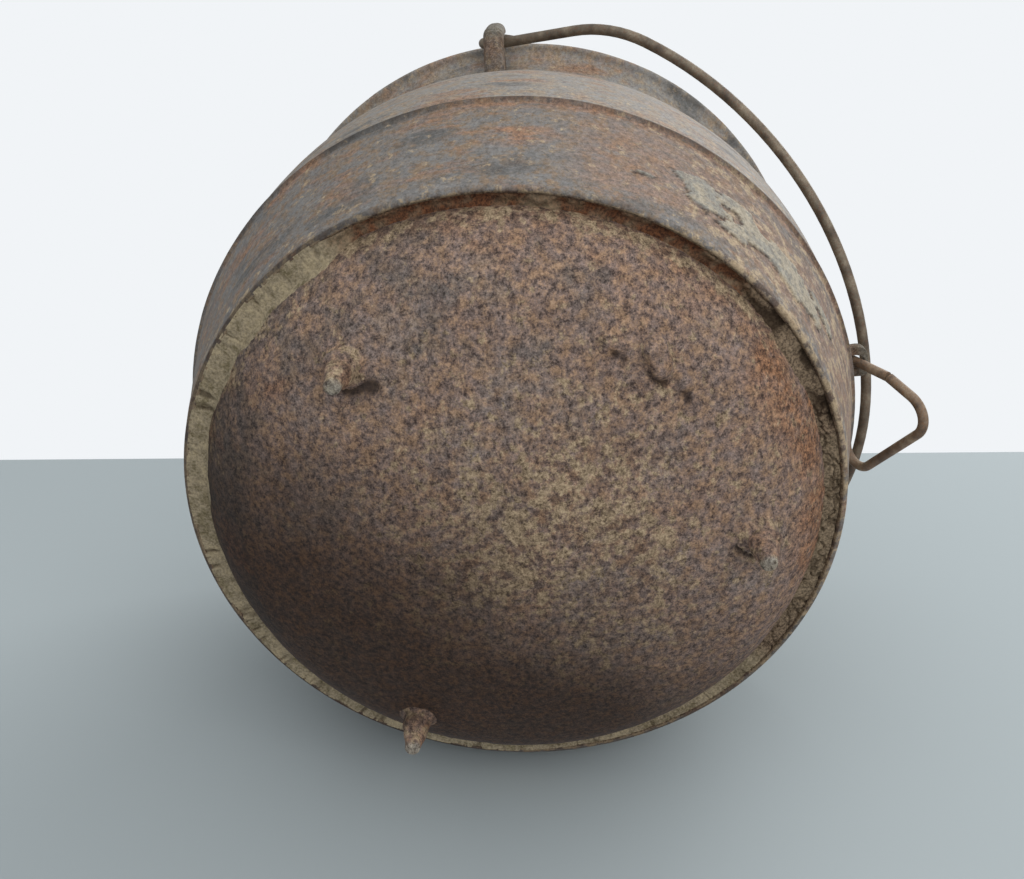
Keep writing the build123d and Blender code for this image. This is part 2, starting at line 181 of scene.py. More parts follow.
def beside(points: np.ndarray, start: Vector, end: Vector) -> np.ndarray:
    """Distance in plan from a straight line between two points.

    Args:
        points: Positions, one per row.
        start: One end of the line.
        end: Its other end, which may be the same.

    Returns:
        One distance per point.
    """
    a = np.array(start[:2])
    line = np.array(end[:2]) - a
    along = np.clip((points[:, :2] - a) @ line / max(line @ line, 1e-12), 0, 1)
    return np.linalg.norm(points[:, :2] - a - along[:, None] * line, axis=1)


def spots(
    points: np.ndarray, rows: tuple[Spot, ...], ragged: np.ndarray, core: float
) -> np.ndarray:
    """Depth of long spots with ragged edges.

    Args:
        points: Positions, one per row.
        rows: Radius and azimuth of both ends of each spot, and its half width in millimetres.
        ragged: How far the edge comes in at each point.
        core: Share of the half width that is at full depth.

    Returns:
        Values from 0 to 1, one per point.
    """
    depth = np.zeros(len(points))
    for r1, a1, r2, a2, width in rows:
        away = beside(points, polar(r1, a1), polar(r2, a2)) + ragged
        depth = np.maximum(depth, smooth_step(away, width * MM, core * width * MM))
    return depth


def arc(
    centre: tuple[float, float], radius: float, start: float, end: float, steps: int
) -> Profile:
    """Points of an arc in a profile, with its angles in degrees from the radial direction."""
    angles = np.radians(np.linspace(start, end, steps + 1))
    return [(centre[0] + radius * math.cos(a), centre[1] + radius * math.sin(a)) for a in angles]


def spaced(profile: Profile, step: float) -> Profile:
    """The same profile with points added.

    Args:
        profile: Corners, as radius and height.
        step: Largest distance that is left between two points.

    Returns:
        The denser profile.
    """
    dense = [profile[0]]
    for start, end in zip(profile, profile[1:]):
        count = max(1, math.ceil(math.dist(start, end) / step))
        a, b = np.array(start), np.array(end)
        dense += [tuple(a + (b - a) * i / count) for i in range(1, count + 1)]
    return dense


def smooth_curve(points: Profile, steps: int) -> Profile:
    """Catmull-Rom curve through points of a profile.

    Args:
        points: Points that it passes through.
        steps: Number of steps from each point to the next.

    Returns:
        Points of the curve.
    """
    knots = [points[0], *points, points[-1]]
    curve = [points[0]]
    for before, start, end, after in zip(knots, knots[1:], knots[2:], knots[3:]):
        b, s, e, a = (np.array(p) for p in (before, start, end, after))
        for t in np.linspace(0, 1, steps + 1)[1:]:
            value = s + 0.5 * t * (e - b) + t * t * (b - 2.5 * s + 2 * e - 0.5 * a)
            curve.append(tuple(value + t**3 * (1.5 * (s - e) + 0.5 * (a - b))))
    return curve


def new_piece(name: str, points: np.ndarray, faces: list[tuple[int, ...]]) -> Piece:
    """Smooth-shaded mesh object.

    Args:
        name: Name of the piece and its mesh.
        points: Vertex positions, one per row.
        faces: Vertex numbers of each face.

    Returns:
        The piece, in the scene.
    """
    mesh = bpy.data.meshes.new(name)
    mesh.from_pydata(points.tolist(), [], faces)
    mesh.shade_smooth()
    piece = bpy.data.objects.new(name, mesh)
    bpy.context.scene.collection.objects.link(piece)
    return piece


def turned_piece(name: str, profile: Profile, turns: int, relief: Field | None = None) -> Piece:
    """Turned mesh with relief along its normals.

    Args:
        name: Name of the piece.
        profile: Closed outline, or one that starts and ends on the axis, as radius and height.
        turns: Segments round the axis.
        relief: Gives how far each point moves outwards.

    Returns:
        The piece.
    """
    outline = np.array(profile)
    on_axis = outline[0][0] < 1e-6
    ring = outline[1:-1] if on_axis else outline[:-1]
    around = outline if on_axis else np.vstack([ring[-1:], ring, ring[:1]])
    tangent = around[2:] - around[:-2]
    tangent /= np.maximum(np.linalg.norm(tangent, axis=1, keepdims=True), 1e-12)
    angles = np.linspace(0, 2 * math.pi, turns, endpoint=False)
    cos, sin = np.cos(angles), np.sin(angles)
    rows = len(ring)
    points = np.empty((rows, turns, 3))
    points[..., 0] = ring[:, :1] * cos
    points[..., 1] = ring[:, :1] * sin + AXIS_Y
    points[..., 2] = ring[:, 1:]
    normals = np.empty_like(points)
    normals[..., 0] = tangent[:, 1:] * cos
    normals[..., 1] = tangent[:, 1:] * sin
    normals[..., 2] = -tangent[:, :1]
    points = points.reshape(-1, 3)
    if relief is not None:
        points = points + normals.reshape(-1, 3) * relief(points)[:, None]
    steps = [(i, (i + 1) % turns) for i in range(turns)]
    faces = []
    for row in range(rows - 1 if on_axis else rows):
        low, high = row * turns, (row + 1) % rows * turns
        faces += [(low + i, low + j, high + j, high + i) for i, j in steps]
    if on_axis:
        first, last, base = len(points), len(points) + 1, (rows - 1) * turns
        ends = [(0, AXIS_Y, end[:, 2].mean()) for end in (points[:turns], points[-turns:])]
        points = np.vstack([points, ends])
        faces += [(j, i, first) for i, j in steps]
        faces += [(base + i, base + j, last) for i, j in steps]
    piece = new_piece(name, points, faces)
    piece.data.set_sharp_from_angle(angle=SHARP_ANGLE)
    return piece


def positions(piece: Piece) -> np.ndarray:
    """Vertex positions of a piece.

    Args:
        piece: A mesh object.

    Returns:
        One position per row.
    """
    flat = np.empty(len(piece.data.vertices) * 3)
    piece.data.vertices.foreach_get("co", flat)
    return flat.reshape(-1, 3)


def reshape(piece: Piece, points: np.ndarray) -> None:
    """Moves the vertices of a piece to new positions."""
    piece.data.vertices.foreach_set("co", points.ravel())
    piece.data.update()


def paint(piece: Piece, zone: Zone, values: np.ndarray) -> None:
    """Stores a value per vertex for the finishes to read."""
    attribute = piece.data.attributes.new(zone.value, "FLOAT", "POINT")
    attribute.data.foreach_set("value", np.clip(values, 0, 1).astype(np.float32))


def cast_copy(name: str, node: Piece, voxel: float, rounds: int, relief: Field) -> Piece:
    """Copy of a solid with the soft edges and uneven skin of a sand casting.

    Args:
        name: Name of the new piece.
        node: The solid's object.
        voxel: Size of its new, even mesh.
        rounds: How often its edges are smoothed.
        relief: Gives how far each point moves along its normal.

    Returns:
        The new piece.
    """
    piece = bpy.data.objects.new(name, node.data.copy())
    bpy.context.scene.collection.objects.link(piece)
    remesh = piece.modifiers.new("remesh", "REMESH")
    remesh.mode = "VOXEL"
    remesh.voxel_size = voxel
    soften = piece.modifiers.new("soften", "SMOOTH")
    soften.factor = 0.6
    soften.iterations = rounds
    bpy.context.view_layer.update()
    evaluated = piece.evaluated_get(bpy.context.evaluated_depsgraph_get())
    mesh = bpy.data.meshes.new_from_object(evaluated)
    piece.modifiers.clear()
    piece.data = mesh
    mesh.name = name
    mesh.materials.clear()
    normals = np.array([vertex.normal for vertex in mesh.vertices])
    points = positions(piece)
    reshape(piece, points + normals * relief(points)[:, None])
    mesh.shade_smooth()
    return piece


# ---------------------------------------------------------------- finishes


def linear(colour: str) -> tuple[float, float, float, float]:
    """Linear colour of an sRGB hex value.

    Args:
        colour: The value, such as "#80604e".

    Returns:
        Red, green, blue and alpha.
    """
    parts = [int(colour[i : i + 2], 16) / 255 for i in (1, 3, 5)]
    red, green, blue = (p / 12.92 if p <= 0.04045 else ((p + 0.055) / 1.055) ** 2.4 for p in parts)
    return red, green, blue, 1.0


def per_metre(size_mm: float) -> float:
    """Texture scale whose pattern repeats about every size_mm."""
    return 1000 / size_mm


def add(
    tree: Tree, kind: str, settings: dict | None = None, out: int = 0, stops: tuple = (), **inputs
) -> Socket:
    """Adds a node with its settings, values and links.

    Args:
        tree: Node tree of the material.
        kind: Node type without its "ShaderNode" prefix.
        settings: Properties of the node.
        out: Number of the output to return.
        stops: Places from 0 to 1 and hex colours of a colour ramp.
        **inputs: Sockets by name, or by "i" and their number; a value, or a socket to link.

    Returns:
        One output of the node.
    """
    node = tree.nodes.new("ShaderNode" + kind)
    for key, value in (settings or {}).items():
        setattr(node, key, value)
    for number, (place, colour) in enumerate(stops):
        elements = node.color_ramp.elements
        element = elements[number] if number < 2 else elements.new(place)
        element.position = place
        element.color = linear(colour)
    for key, value in inputs.items():
        numbered = key[0] == "i" and key[1:].isdigit()
        socket = node.inputs[int(key[1:]) if numbered else key]
        if isinstance(value, bpy.types.NodeSocket):
            tree.links.new(value, socket)
        else:
            socket.default_value = value
    return node.outputs[out]


def new_material(name: str) -> tuple[Material, Tree, bpy.types.Node]:
    """Empty material for a finish.

    Args:
        name: Name of the material.

    Returns:
        The material, its node tree and the shader in it.
    """
    material = bpy.data.materials.new(name)
    material.use_nodes = True
    return material, material.node_tree, material.node_tree.nodes["Principled BSDF"]


@dataclass(frozen=True)
class RustedIron:
    """Sand-cast grey iron that has rusted for years: matt, mottled and finely pitted.

    The tint of the scale changes from grain to grain and every pit is darker.  Grey iron shows
    where the scale is thin; powdery rust, soot from the fire and dry mortar dust lie in patches.
    """

    name: str
    cool: str
    middle: str
    warm: str
    pits: str = "#665c56"       # shade in the pits
    skin: str = "#c4c0bc"       # shade between pits and grains
    old_rust: str = "#80604e"
    fresh_rust: str = "#a97d5c"
    bare: str = "#868584"
    soot: str = "#5f5f5e"
    between: str = "#604b3d"    # damp iron between the clumps of dust
    dust: str = "#b29f82"       # dry mortar dust that clings to some grains
    worn: str = "#9fa095"
    # Dirt and painted shade multiply the colour by this
    grime_and_shade: str = "#6a5a4c"
    # Cracks and the painted shade in pits and hollows take this colour
    crack: str = "#241a14"
    speck_mm: float = 1.6       # pits
    grain_mm: float = 0.6       # finest grains of scale, just large enough to show
    tint_mm: float = 2.6        # grains of one tint
    clump_mm: float = 4.6       # clumps of dust
    cloud_mm: float = 24.0      # patches of more or less rust
    streak: float = 1.0         # how far patches are drawn out round the kettle
    pit_depth_mm: float = 0.3
    rust_share: float = 0.2     # strength of the rust that lies everywhere
    bare_share: float = 0.35
    roughness: float = 0.85

    def material(self) -> Material:
        """Builds the node material.

        Returns:
            The material.
        """
        material, tree, shader = new_material(self.name)
        at = add(tree, "TexCoord", out=3)
        drawn = add(tree, "Mapping", Vector=at, Scale=(1, 1, self.streak))
        specks, fine, tints, clumps, clouds, wisps = (
            add(tree, "TexNoise", Vector=base, Scale=per_metre(mm), Detail=detail, Roughness=harsh)
            for base, mm, detail, harsh in (
                (at, self.speck_mm, 6.0, 0.72),
                (at, self.grain_mm, 4.0, 0.8),
                (at, self.tint_mm, 6.0, 0.8),
                (at, self.clump_mm, 5.0, 0.72),
                (drawn, self.cloud_mm, 5.0, 0.6),
                (drawn, self.cloud_mm / 3.5, 5.0, 0.7),
            )
        )
        grain = add(tree, "Mix", i0=0.42, i2=specks, i3=fine)
        rusty, sooty, dusty, worn, cracked_and_shaded, grimy_and_shaded = (
            add(tree, "Attribute", {"attribute_name": zone.value}, out=2) for zone in Zone
        )
        colour, rust, shade = (
            add(tree, "ValToRGB", stops=stops, Fac=noise)
            for noise, stops in (
                (tints, ((0.42, self.cool), (0.5, self.middle), (0.58, self.warm))),
                (grain, ((0.40, self.old_rust), (0.58, self.fresh_rust))),
                (grain, ((0.40, self.pits), (0.5, self.skin), (0.60, "#ffffff"))),
            )
        )
        # Scale is thin in some clouds and rust lies strewn in others; wisps break up all of them
        bare = add(tree, "MapRange", Value=clouds, i1=0.50, i2=0.60, i4=self.bare_share)
        strewn = add(tree, "MapRange", Value=clouds, i1=0.50, i2=0.40, i4=self.rust_share)
        bare, strewn, rusted, sooted = (
            add(
                tree, "Math", {"operation": "MULTIPLY"}, i0=amount,
                i1=add(tree, "MapRange", Value=wisps, i1=low, i2=high),
            )
            for amount, low, high in (
                (bare, 0.40, 0.56),
                (strewn, 0.42, 0.58),
                (rusty, 0.30, 0.54),
                (sooty, 0.34, 0.50),
            )
        )
        rusted = add(tree, "Math", {"operation": "MAXIMUM"}, i0=strewn, i1=rusted)
        between = add(tree, "MapRange", Value=clumps, i1=0.49, i2=0.42, i4=0.75)
        between = add(tree, "Math", {"operation": "MULTIPLY"}, i0=dusty, i1=between)
        dusted = add(tree, "Math", {"operation": "MULTIPLY_ADD"}, i0=dusty, i1=0.2, i2=clumps)
        dusted = add(tree, "MapRange", Value=dusted, i1=0.58, i2=0.67, i4=0.9)
        for blend, amount, over in (
            ("MIX", bare, linear(self.bare)),
            ("MIX", rusted, rust),
            ("MIX", sooted, linear(self.soot)),
            ("MIX", between, linear(self.between)),
            ("MIX", dusted, linear(self.dust)),
            ("MIX", worn, linear(self.worn)),
            ("MULTIPLY", 1.0, shade),
            # Dirt and painted shade, then cracks and painted shade in pits and hollows, darken the
            # colour
            ("MULTIPLY", grimy_and_shaded, linear(self.grime_and_shade)),
            ("MIX", cracked_and_shaded, linear(self.crack)),
        ):
            layer = {"data_type": "RGBA", "blend_type": blend}
            colour = add(tree, "Mix", layer, out=2, i0=amount, i6=colour, i7=over)
        tree.links.new(colour, shader.inputs["Base Color"])
        dull = add(
            tree, "MapRange", Value=fine, i3=self.roughness - 0.1, i4=self.roughness + 0.1
        )
        tree.links.new(dull, shader.inputs["Roughness"])
        shader.inputs["Metallic"].default_value = 0.0
        shader.inputs["Specular IOR Level"].default_value = 0.3
        depth = self.pit_depth_mm * MM
        bump = add(tree, "Bump", Strength=1.0, Distance=depth, Height=specks)
        bump = add(tree, "Bump", Strength=0.8, Distance=depth * 0.4, Height=fine, Normal=bump)
        tree.links.new(bump, shader.inputs["Normal"])
        return material


@dataclass(frozen=True)
class DryMortar:
    """Lime mortar, trowelled in long ago: sandy, tan, a little darker in its cracks, with painted
    shade where it lies deep.
    """

    name: str = "dry_mortar"
    damp: str = "#60573f"
    sand: str = "#897e6a"
    pale: str = "#a4967a"
    # Cracks and the painted shade in sunk lumps and gaps take this colour
    crack: str = "#32261b"
    soaked: tuple[str, str] = ("#3a2219", "#75492f")    # rust that has soaked into what is left
    sooty: tuple[str, str] = ("#483b30", "#84725d")     # lumps near the fire
    grit_mm: float = 0.9
    patch_mm: float = 7.0
    grit_height_mm: float = 0.5

    def material(self) -> Material:
        """Builds the node material.

        Returns:
            The material.
        """
        material, tree, shader = new_material(self.name)
        at = add(tree, "TexCoord", out=3)
        grit, patches = (
            add(tree, "TexNoise", Vector=at, Scale=per_metre(size), Detail=detail, Roughness=0.7)
            for size, detail in ((self.grit_mm, 3.0), (self.patch_mm, 5.0))
        )
        rusty, sooty, cracked_and_shaded = (
            add(tree, "Attribute", {"attribute_name": zone.value}, out=2)
            for zone in (Zone.RUST, Zone.SOOT, Zone.CRACK_AND_SHADE)
        )
        sand = ((0.40, self.damp), (0.5, self.sand), (0.60, self.pale))
        colour, grains, soaked, lumps = (
            add(tree, "ValToRGB", stops=stops, Fac=noise)
            for noise, stops in (
                (patches, sand),
                (grit, sand),
                (grit, ((0.38, self.soaked[0]), (0.62, self.soaked[1]))),
                (grit, ((0.40, self.sooty[0]), (0.60, self.sooty[1]))),
            )
        )
        for amount, over in (
            (0.45, grains), (rusty, soaked), (sooty, lumps), (cracked_and_shaded, linear(self.crack)),
        ):
            colour = add(tree, "Mix", {"data_type": "RGBA"}, out=2, i0=amount, i6=colour, i7=over)
        tree.links.new(colour, shader.inputs["Base Color"])
        shader.inputs["Roughness"].default_value = 0.93
        shader.inputs["Specular IOR Level"].default_value = 0.2
        bump = add(tree, "Bump", Strength=1.0, Distance=self.grit_height_mm * MM, Height=grit)
        tree.links.new(bump, shader.inputs["Normal"])
        return material


@dataclass(frozen=True)
class DrawnWire:
    """Drawn iron wire under a thin skin of rust: a dull sheen where hands have rubbed it."""

    name: str
    dark: str
    middle: str
    light: str
    deep_rust: str = "#3d2a1f"
    rust: str = "#6a4630"
    rust_share: float = 0.45
    roughness: float = 0.55
    metallic: float = 0.3
    patch_mm: float = 8.0
    speck_mm: float = 0.9
    speck_height_mm: float = 0.1

    def material(self) -> Material:
        """Builds the node material.

        Returns:
            The material.
        """
        material, tree, shader = new_material(self.name)
        at = add(tree, "TexCoord", out=3)
        patches, specks = (
            add(tree, "TexNoise", Vector=at, Scale=per_metre(size), Detail=detail, Roughness=harsh)
            for size, detail, harsh in ((self.patch_mm, 5.0, 0.65), (self.speck_mm, 3.0, 0.6))
        )
        iron, rust = (
            add(tree, "ValToRGB", stops=stops, Fac=noise)
            for noise, stops in (
                (patches, ((0.36, self.dark), (0.5, self.middle), (0.66, self.light))),
                (specks, ((0.4, self.deep_rust), (0.62, self.rust))),
            )
        )
        rusty = add(tree, "MapRange", Value=specks, i1=0.48, i2=0.62, i4=self.rust_share)
        colour = add(tree, "Mix", {"data_type": "RGBA"}, out=2, i0=rusty, i6=iron, i7=rust)
        tree.links.new(colour, shader.inputs["Base Color"])
        shader.inputs["Metallic"].default_value = self.metallic
        dull = add(
            tree, "MapRange", Value=patches, i3=self.roughness - 0.1, i4=self.roughness + 0.15
        )
        tree.links.new(dull, shader.inputs["Roughness"])
        bump = add(tree, "Bump", Strength=0.7, Distance=self.speck_height_mm * MM, Height=specks)
        tree.links.new(bump, shader.inputs["Normal"])
        return material


# ---------------------------------------------------------------- sub-assemblies


@dataclass
class Finishes:
    """The materials of all pieces, made once."""

    bottom: Material = field(default_factory=RustedIron(
        "pitted_bottom_iron", "#958681", "#9c867a", "#a4886f", speck_mm=1.8, tint_mm=3.6,
    ).material)
    band: Material = field(default_factory=RustedIron(
        "scaled_band_iron", "#7b7a79", "#7f7a74", "#8b7864", pits="#b4b0ac", skin="#e2e0de",
        streak=2.6, tint_mm=5.0, cloud_mm=20.0, pit_depth_mm=0.12, rust_share=0.5, bare_share=0.6,
        roughness=0.78,
    ).material)
    belly: Material = field(default_factory=RustedIron(
        "smooth_belly_iron", "#8b8987", "#8f8980", "#9b8b77", pits="#bbb7b3", skin="#e4e2e0",
        streak=3.2, tint_mm=5.0, cloud_mm=22.0, pit_depth_mm=0.08, old_rust="#7a5b46",
        fresh_rust="#a57d5d", bare="#8f8f8c", rust_share=0.5, bare_share=0.5, roughness=0.72,
    ).material)
    lug: Material = field(default_factory=RustedIron(
        "rough_lug_iron", "#8d857f", "#948779", "#9f8a73", pits="#948a84",
    ).material)
    mortar: Material = field(default_factory=DryMortar().material)
    bail: Material = field(default_factory=DrawnWire(
        "bail_wire_iron", "#4a4137", "#6b6051", "#887c6a",
    ).material)
    ring: Material = field(default_factory=DrawnWire(
        "ring_wire_iron", "#55463a", "#7d6a58", "#9b8a73", rust="#85603f", rust_share=0.5,
        roughness=0.65, metallic=0.15,
    ).material)


def coat(piece: Piece, material: Material) -> None:
    """Gives a piece one material."""
    piece.data.materials.clear()
    piece.data.materials.append(material)


def dress(piece: Piece, material: Material, body: str, slot: str, *nodes: str) -> None:
    """Gives a piece its finish and its body, and hides the solids that it replaces.

    Args:
        piece: The piece.
        material: Its finish.
        body: Body it moves with.
        slot: Not used.
        *nodes: Solids that it replaces.
    """
    coat(piece, material)
    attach(piece, body)
    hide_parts(*nodes)
    LOG.info("%s: %d faces, moves with %s", piece.name, len(piece.data.polygons), body)


@dataclass
class DishedBottom:
    """Dished bottom with ledge, lip, gate mark and fin."""

    crown_radius: float = 240 * MM
    crown_z: float = 2.9 * MM           # outside of the crown on the axis
    knuckle_radius: float = 40 * MM
    knuckle_slope: float = 70.0
    knuckle_start: float = 0.0684       # distance from the axis where the crown turns into it
    knuckle_bend: float = 9.0           # how fast it leaves the crown's curve, per metre
    root_radius: float = 106 * MM
    lip_thickness: float = 2.2 * MM
    lip_bevel: float = 0.6 * MM
    lip_round: float = 1.1 * MM
    band_edge: float = LIP_RADIUS - 1.5 * MM    # the band's finish starts here
    ledge_depth: float = 3.6 * MM
    step: float = 1.1 * MM
    turns: int = 680

    @property
    def knuckle_centre(self) -> tuple[float, float]:
        """Centre of the knuckle's arc, as radius and height."""
        slope = math.radians(self.knuckle_slope)
        return (
            self.root_radius - self.knuckle_radius * math.sin(slope),
            LIP_Z + self.ledge_depth + self.knuckle_radius * math.cos(slope),
        )

    def knuckle_z(self, r: np.ndarray) -> np.ndarray:
        """Height of the knuckle's outside.

        Args:
            r: Distances from the axis.

        Returns:
            One height per distance.
        """
        centre_r, centre_z = self.knuckle_centre
        fall = self.knuckle_radius**2 - np.maximum(r - centre_r, 0) ** 2
        return centre_z - np.sqrt(np.maximum(fall, 0))

    def profile(self) -> Profile:
        """Outline of the whole bottom.

        Returns:
            Radius and height from the outside middle round the lip to the inside middle.
        """
        centre = self.knuckle_centre
        centre_r, centre_z = centre
        reach = self.crown_radius - self.knuckle_radius
        crown_slope = math.degrees(math.asin(centre_r / reach))
        crown = (0, centre_z + reach * math.cos(math.radians(crown_slope)))
        ledge = LIP_Z + self.ledge_depth
        floor = ledge + WALL
        inner_radius = self.knuckle_radius - WALL
        inner_slope = math.degrees(math.acos((centre_z - floor) / inner_radius))
        lip, bevel, soft = LIP_RADIUS - self.lip_thickness, self.lip_bevel, self.lip_round
        turn, end = -90 + crown_slope, -90 + self.knuckle_slope
        outside = arc(crown, self.crown_radius, -90, turn, 60)
        outside += arc(centre, self.knuckle_radius, turn, end, 34)[1:]
        outside += [(lip - bevel, ledge), (lip, ledge - bevel), (lip, LIP_Z + bevel)]
        edge = arc((LIP_RADIUS - 0.9 * MM, LIP_Z + soft), soft, -90, -8, 6)
        outside += [(lip + bevel, LIP_Z), *edge]
        outside += [(LIP_RADIUS + FLARE * (floor - LIP_Z), floor)]
        inside = arc(centre, inner_radius, -90 + inner_slope, turn, 12)
        inside += arc(crown, self.crown_radius - WALL, turn, -90, 16)[1:]
        return spaced(outside, self.step) + spaced(inside, 3 * self.step)

    def gate(self, points: np.ndarray) -> np.ndarray:
        """Height of the broken gate: three uneven lumps on a low mound.

        Args:
            points: Positions on the dish.

        Returns:
            One height per point, in metres.
        """
        mound = beside(points, polar(0.0785, 209), polar(0.0775, 227))
        height = 0.5 * MM * smooth_step(mound, 9 * MM, 2 * MM)
        lumps = (
            (0.0800, 207.5, 0.0795, 211.0, 2.4, 1.1),
            (0.0835, 217.0, 0.0795, 220.5, 4.2, 3.3),
            (0.0810, 225.5, 0.0800, 228.0, 2.2, 1.2),
        )
        for r1, a1, r2, a2, width, tall in lumps:
            away = beside(points, polar(r1, a1), polar(r2, a2))
            height = height + tall * MM * smooth_step(away, width * MM, 0.6 * width * MM)
        return height

    def pits(self, points: np.ndarray) -> np.ndarray:
        """Depth of the pits along the gate's inner edge, which are painted dark as shade.

        Args:
            points: Positions on the dish.

        Returns:
            Values from 0 to 1, one per point.
        """
        rows = (
            (0.0768, 210.2, 0.0768, 210.8, 1.7),
            (0.0769, 212.4, 0.0766, 213.2, 1.6),
            # painted shadow under the middle lump
            (0.0772, 219.2, 0.0762, 221.8, 1.9),
            (0.0762, 222.4, 0.0768, 223.6, 1.2),
            (0.0784, 228.4, 0.0776, 230.4, 1.7),
        )
        return spots(points, rows, 0.9 * MM * rough(points, 2.2 * MM, 27, 2), 0.2)

    def shaded_hollows(self, points: np.ndarray) -> np.ndarray:
        """Depth from 0 to 1 of the hollows that the casting left beside two of the feet, painted
        black as shadow.
        """
        rows = ((0.0742, 147.4, 0.0708, 152.6, 3.6), (0.0746, 272.6, 0.0790, 275.2, 2.9))
        return spots(points, rows, 0.7 * MM * rough(points, 2.5 * MM, 33, 2), 0.3)

    def relief(self, points: np.ndarray) -> np.ndarray:
        """Pitted skin, gate mark, fin and mounds round the feet; the inside stays smooth.

        Args:
            points: Positions on the bottom.

        Returns:
            How far each point moves outwards, in metres.
        """
        r = radius_of(points)
        skin = 0.16 * MM * rough(points, 3.2 * MM, 3) + 0.25 * MM * rough(points, 14 * MM, 8, 2)
        uneven = 1 + 0.5 * rough(points, 4 * MM, 21)
        fin = beside(points, polar(0.060, 318), polar(0.0755, 314.5))
        fin = smooth_step(fin, 1.5 * MM, 0.2 * MM)
        marks = self.gate(points) * uneven + 0.9 * MM * fin * uneven
        marks -= 0.9 * MM * self.pits(points) + 1.2 * MM * self.shaded_hollows(points)
        for degrees in FOOT_AZIMUTHS:
            foot = polar(FOOT_CIRCLE, degrees)
            marks = marks + 0.7 * MM * smooth_step(beside(points, foot, foot), 11 * MM, 6 * MM)
        skin = skin * smooth_step(r, 112 * MM, 104 * MM)
        return self.outside_share(points) * (skin + smooth_step(r, 105 * MM, 100 * MM) * marks)

    def outside_share(self, points: np.ndarray) -> np.ndarray:
        """Tells the outside of the dish from the inside of the kettle.

        Args:
            points: Positions on the bottom.

        Returns:
            1 outside and 0 inside, one per point.
        """
        r = np.minimum(radius_of(points), self.root_radius)
        knuckle = np.maximum(r - self.knuckle_start, 0)
        outside = self.crown_z + r**2 / (2 * self.crown_radius) + self.knuckle_bend * knuckle**2
        return (points[:, 2] < outside + WALL / 2).astype(float)

    def zones(self, points: np.ndarray) -> dict[Zone, np.ndarray]:
        """What lies on the outside of the dish, and the shade painted on it.

        Args:
            points: Positions on it, or on a foot.

        Returns:
            Values from 0 to 1 by zone.
        """
        r = radius_of(points) / MM

        def strewn(noise: np.ndarray, *rows: tuple) -> np.ndarray:
            """Strongest of patches, each by strength, radii, sector and range of the noise."""
            return np.maximum.reduce([
                share * smooth_step(r, *radii) * sector(points, *where) * smooth_step(noise, *cut)
                for share, radii, where, cut in rows
            ])

        rust = strewn(
            rough(points, 17 * MM, 31, 4),
            (1.0, (86, 100), (258, 22, 14), (-0.5, 0.15)),
            (0.7, (84, 101), (196, 44, 20), (-0.1, 0.45)),
            (0.8, (83, 90), (125, 42, 12), (0.10, 0.32)),
        )
        soot = strewn(
            rough(points, 15 * MM, 37, 4),
            (0.5, (83, 90), (122, 50, 14), (-0.22, 0.08)),
            (0.6, (66, 76), (185, 26, 10), (0.2, 0.42)),
        )
        away = np.hypot(points[:, 0] / MM + 6, (points[:, 1] - AXIS_Y) / MM + 20)
        dust = smooth_step(away, 92, 10) * (0.55 + 0.5 * rough(points, 13 * MM, 41, 2))
        smear = smooth_step(r, 97, 103) * sector(points, 60, 92, 12)
        smear = smear * smooth_step(rough(points, 8 * MM, 47), -0.4, 0.5)
        # Dust has run down the flank of the dish where the mortar has broken out; between the runs
        # the flank gets painted shade of the recess
        ragged = r + 2.2 * rough(points * np.array([1, 1, 0.3]), 5 * MM, 91, 4)
        flank = smooth_step(ragged, 102.0, 104.0) * sector(points, 196, 36, 8)
        runs = smooth_step(ragged, 106.5, 105.5)
        # Darker towards the side that lies on the floor and away from the lamps: painted shade,
        # with some dirt
        low_side = 0.8 * points[:, 0] / MM + 0.55 * (points[:, 1] - AXIS_Y) / MM
        low_side = 0.95 * smooth_step(low_side + 14 * rough(points, 34 * MM, 45), -34, 46)
        pits = self.pits(points)
        return {
            Zone.RUST: rust * (1 - flank) + 0.4 * flank,
            Zone.SOOT: soot * (1 - rust),
            Zone.DUST: dust + 0.8 * smear + 0.7 * flank * runs,
            # Dirt and painted shade: the floor side, the pits and the flank between the runs
            Zone.GRIME_AND_SHADE: low_side + 0.7 * pits + 0.6 * flank * (1 - runs),
            # Cracks, with painted shade in the pits and painted shadow in the hollows by the feet
            Zone.CRACK_AND_SHADE: 0.3 * pits + 0.85 * self.shaded_hollows(points),
        }

    def build(self, finishes: Finishes) -> None:
        """Makes, paints and dresses the piece.

        Args:
            finishes: The materials.
        """
        piece = turned_piece("bottom_casting", self.profile(), self.turns, self.relief)
        points = positions(piece)
        r = radius_of(points)
        below = self.outside_share(points)
        lip = smooth_step(r, 108.5 * MM, 110 * MM)
        band = Wall().zones(points)
        for zone, values in self.zones(points).items():
            lip_value = {Zone.DUST: 0.8, Zone.GRIME_AND_SHADE: 0.5}.get(zone, 0.0)
            values = values * (1 - lip) + lip_value * lip
            paint(piece, zone, np.where(r > self.band_edge, band[zone], values * below))
        dress(piece, finishes.bottom, "kettle", "rusty_iron", "bottom")
        piece.data.materials.append(finishes.band)
        centres = np.empty(len(piece.data.polygons) * 3)
        piece.data.polygons.foreach_get("center", centres)
        on_band = radius_of(centres.reshape(-1, 3)) > self.band_edge
        piece.data.polygons.foreach_set("material_index", on_band.astype(np.int32))


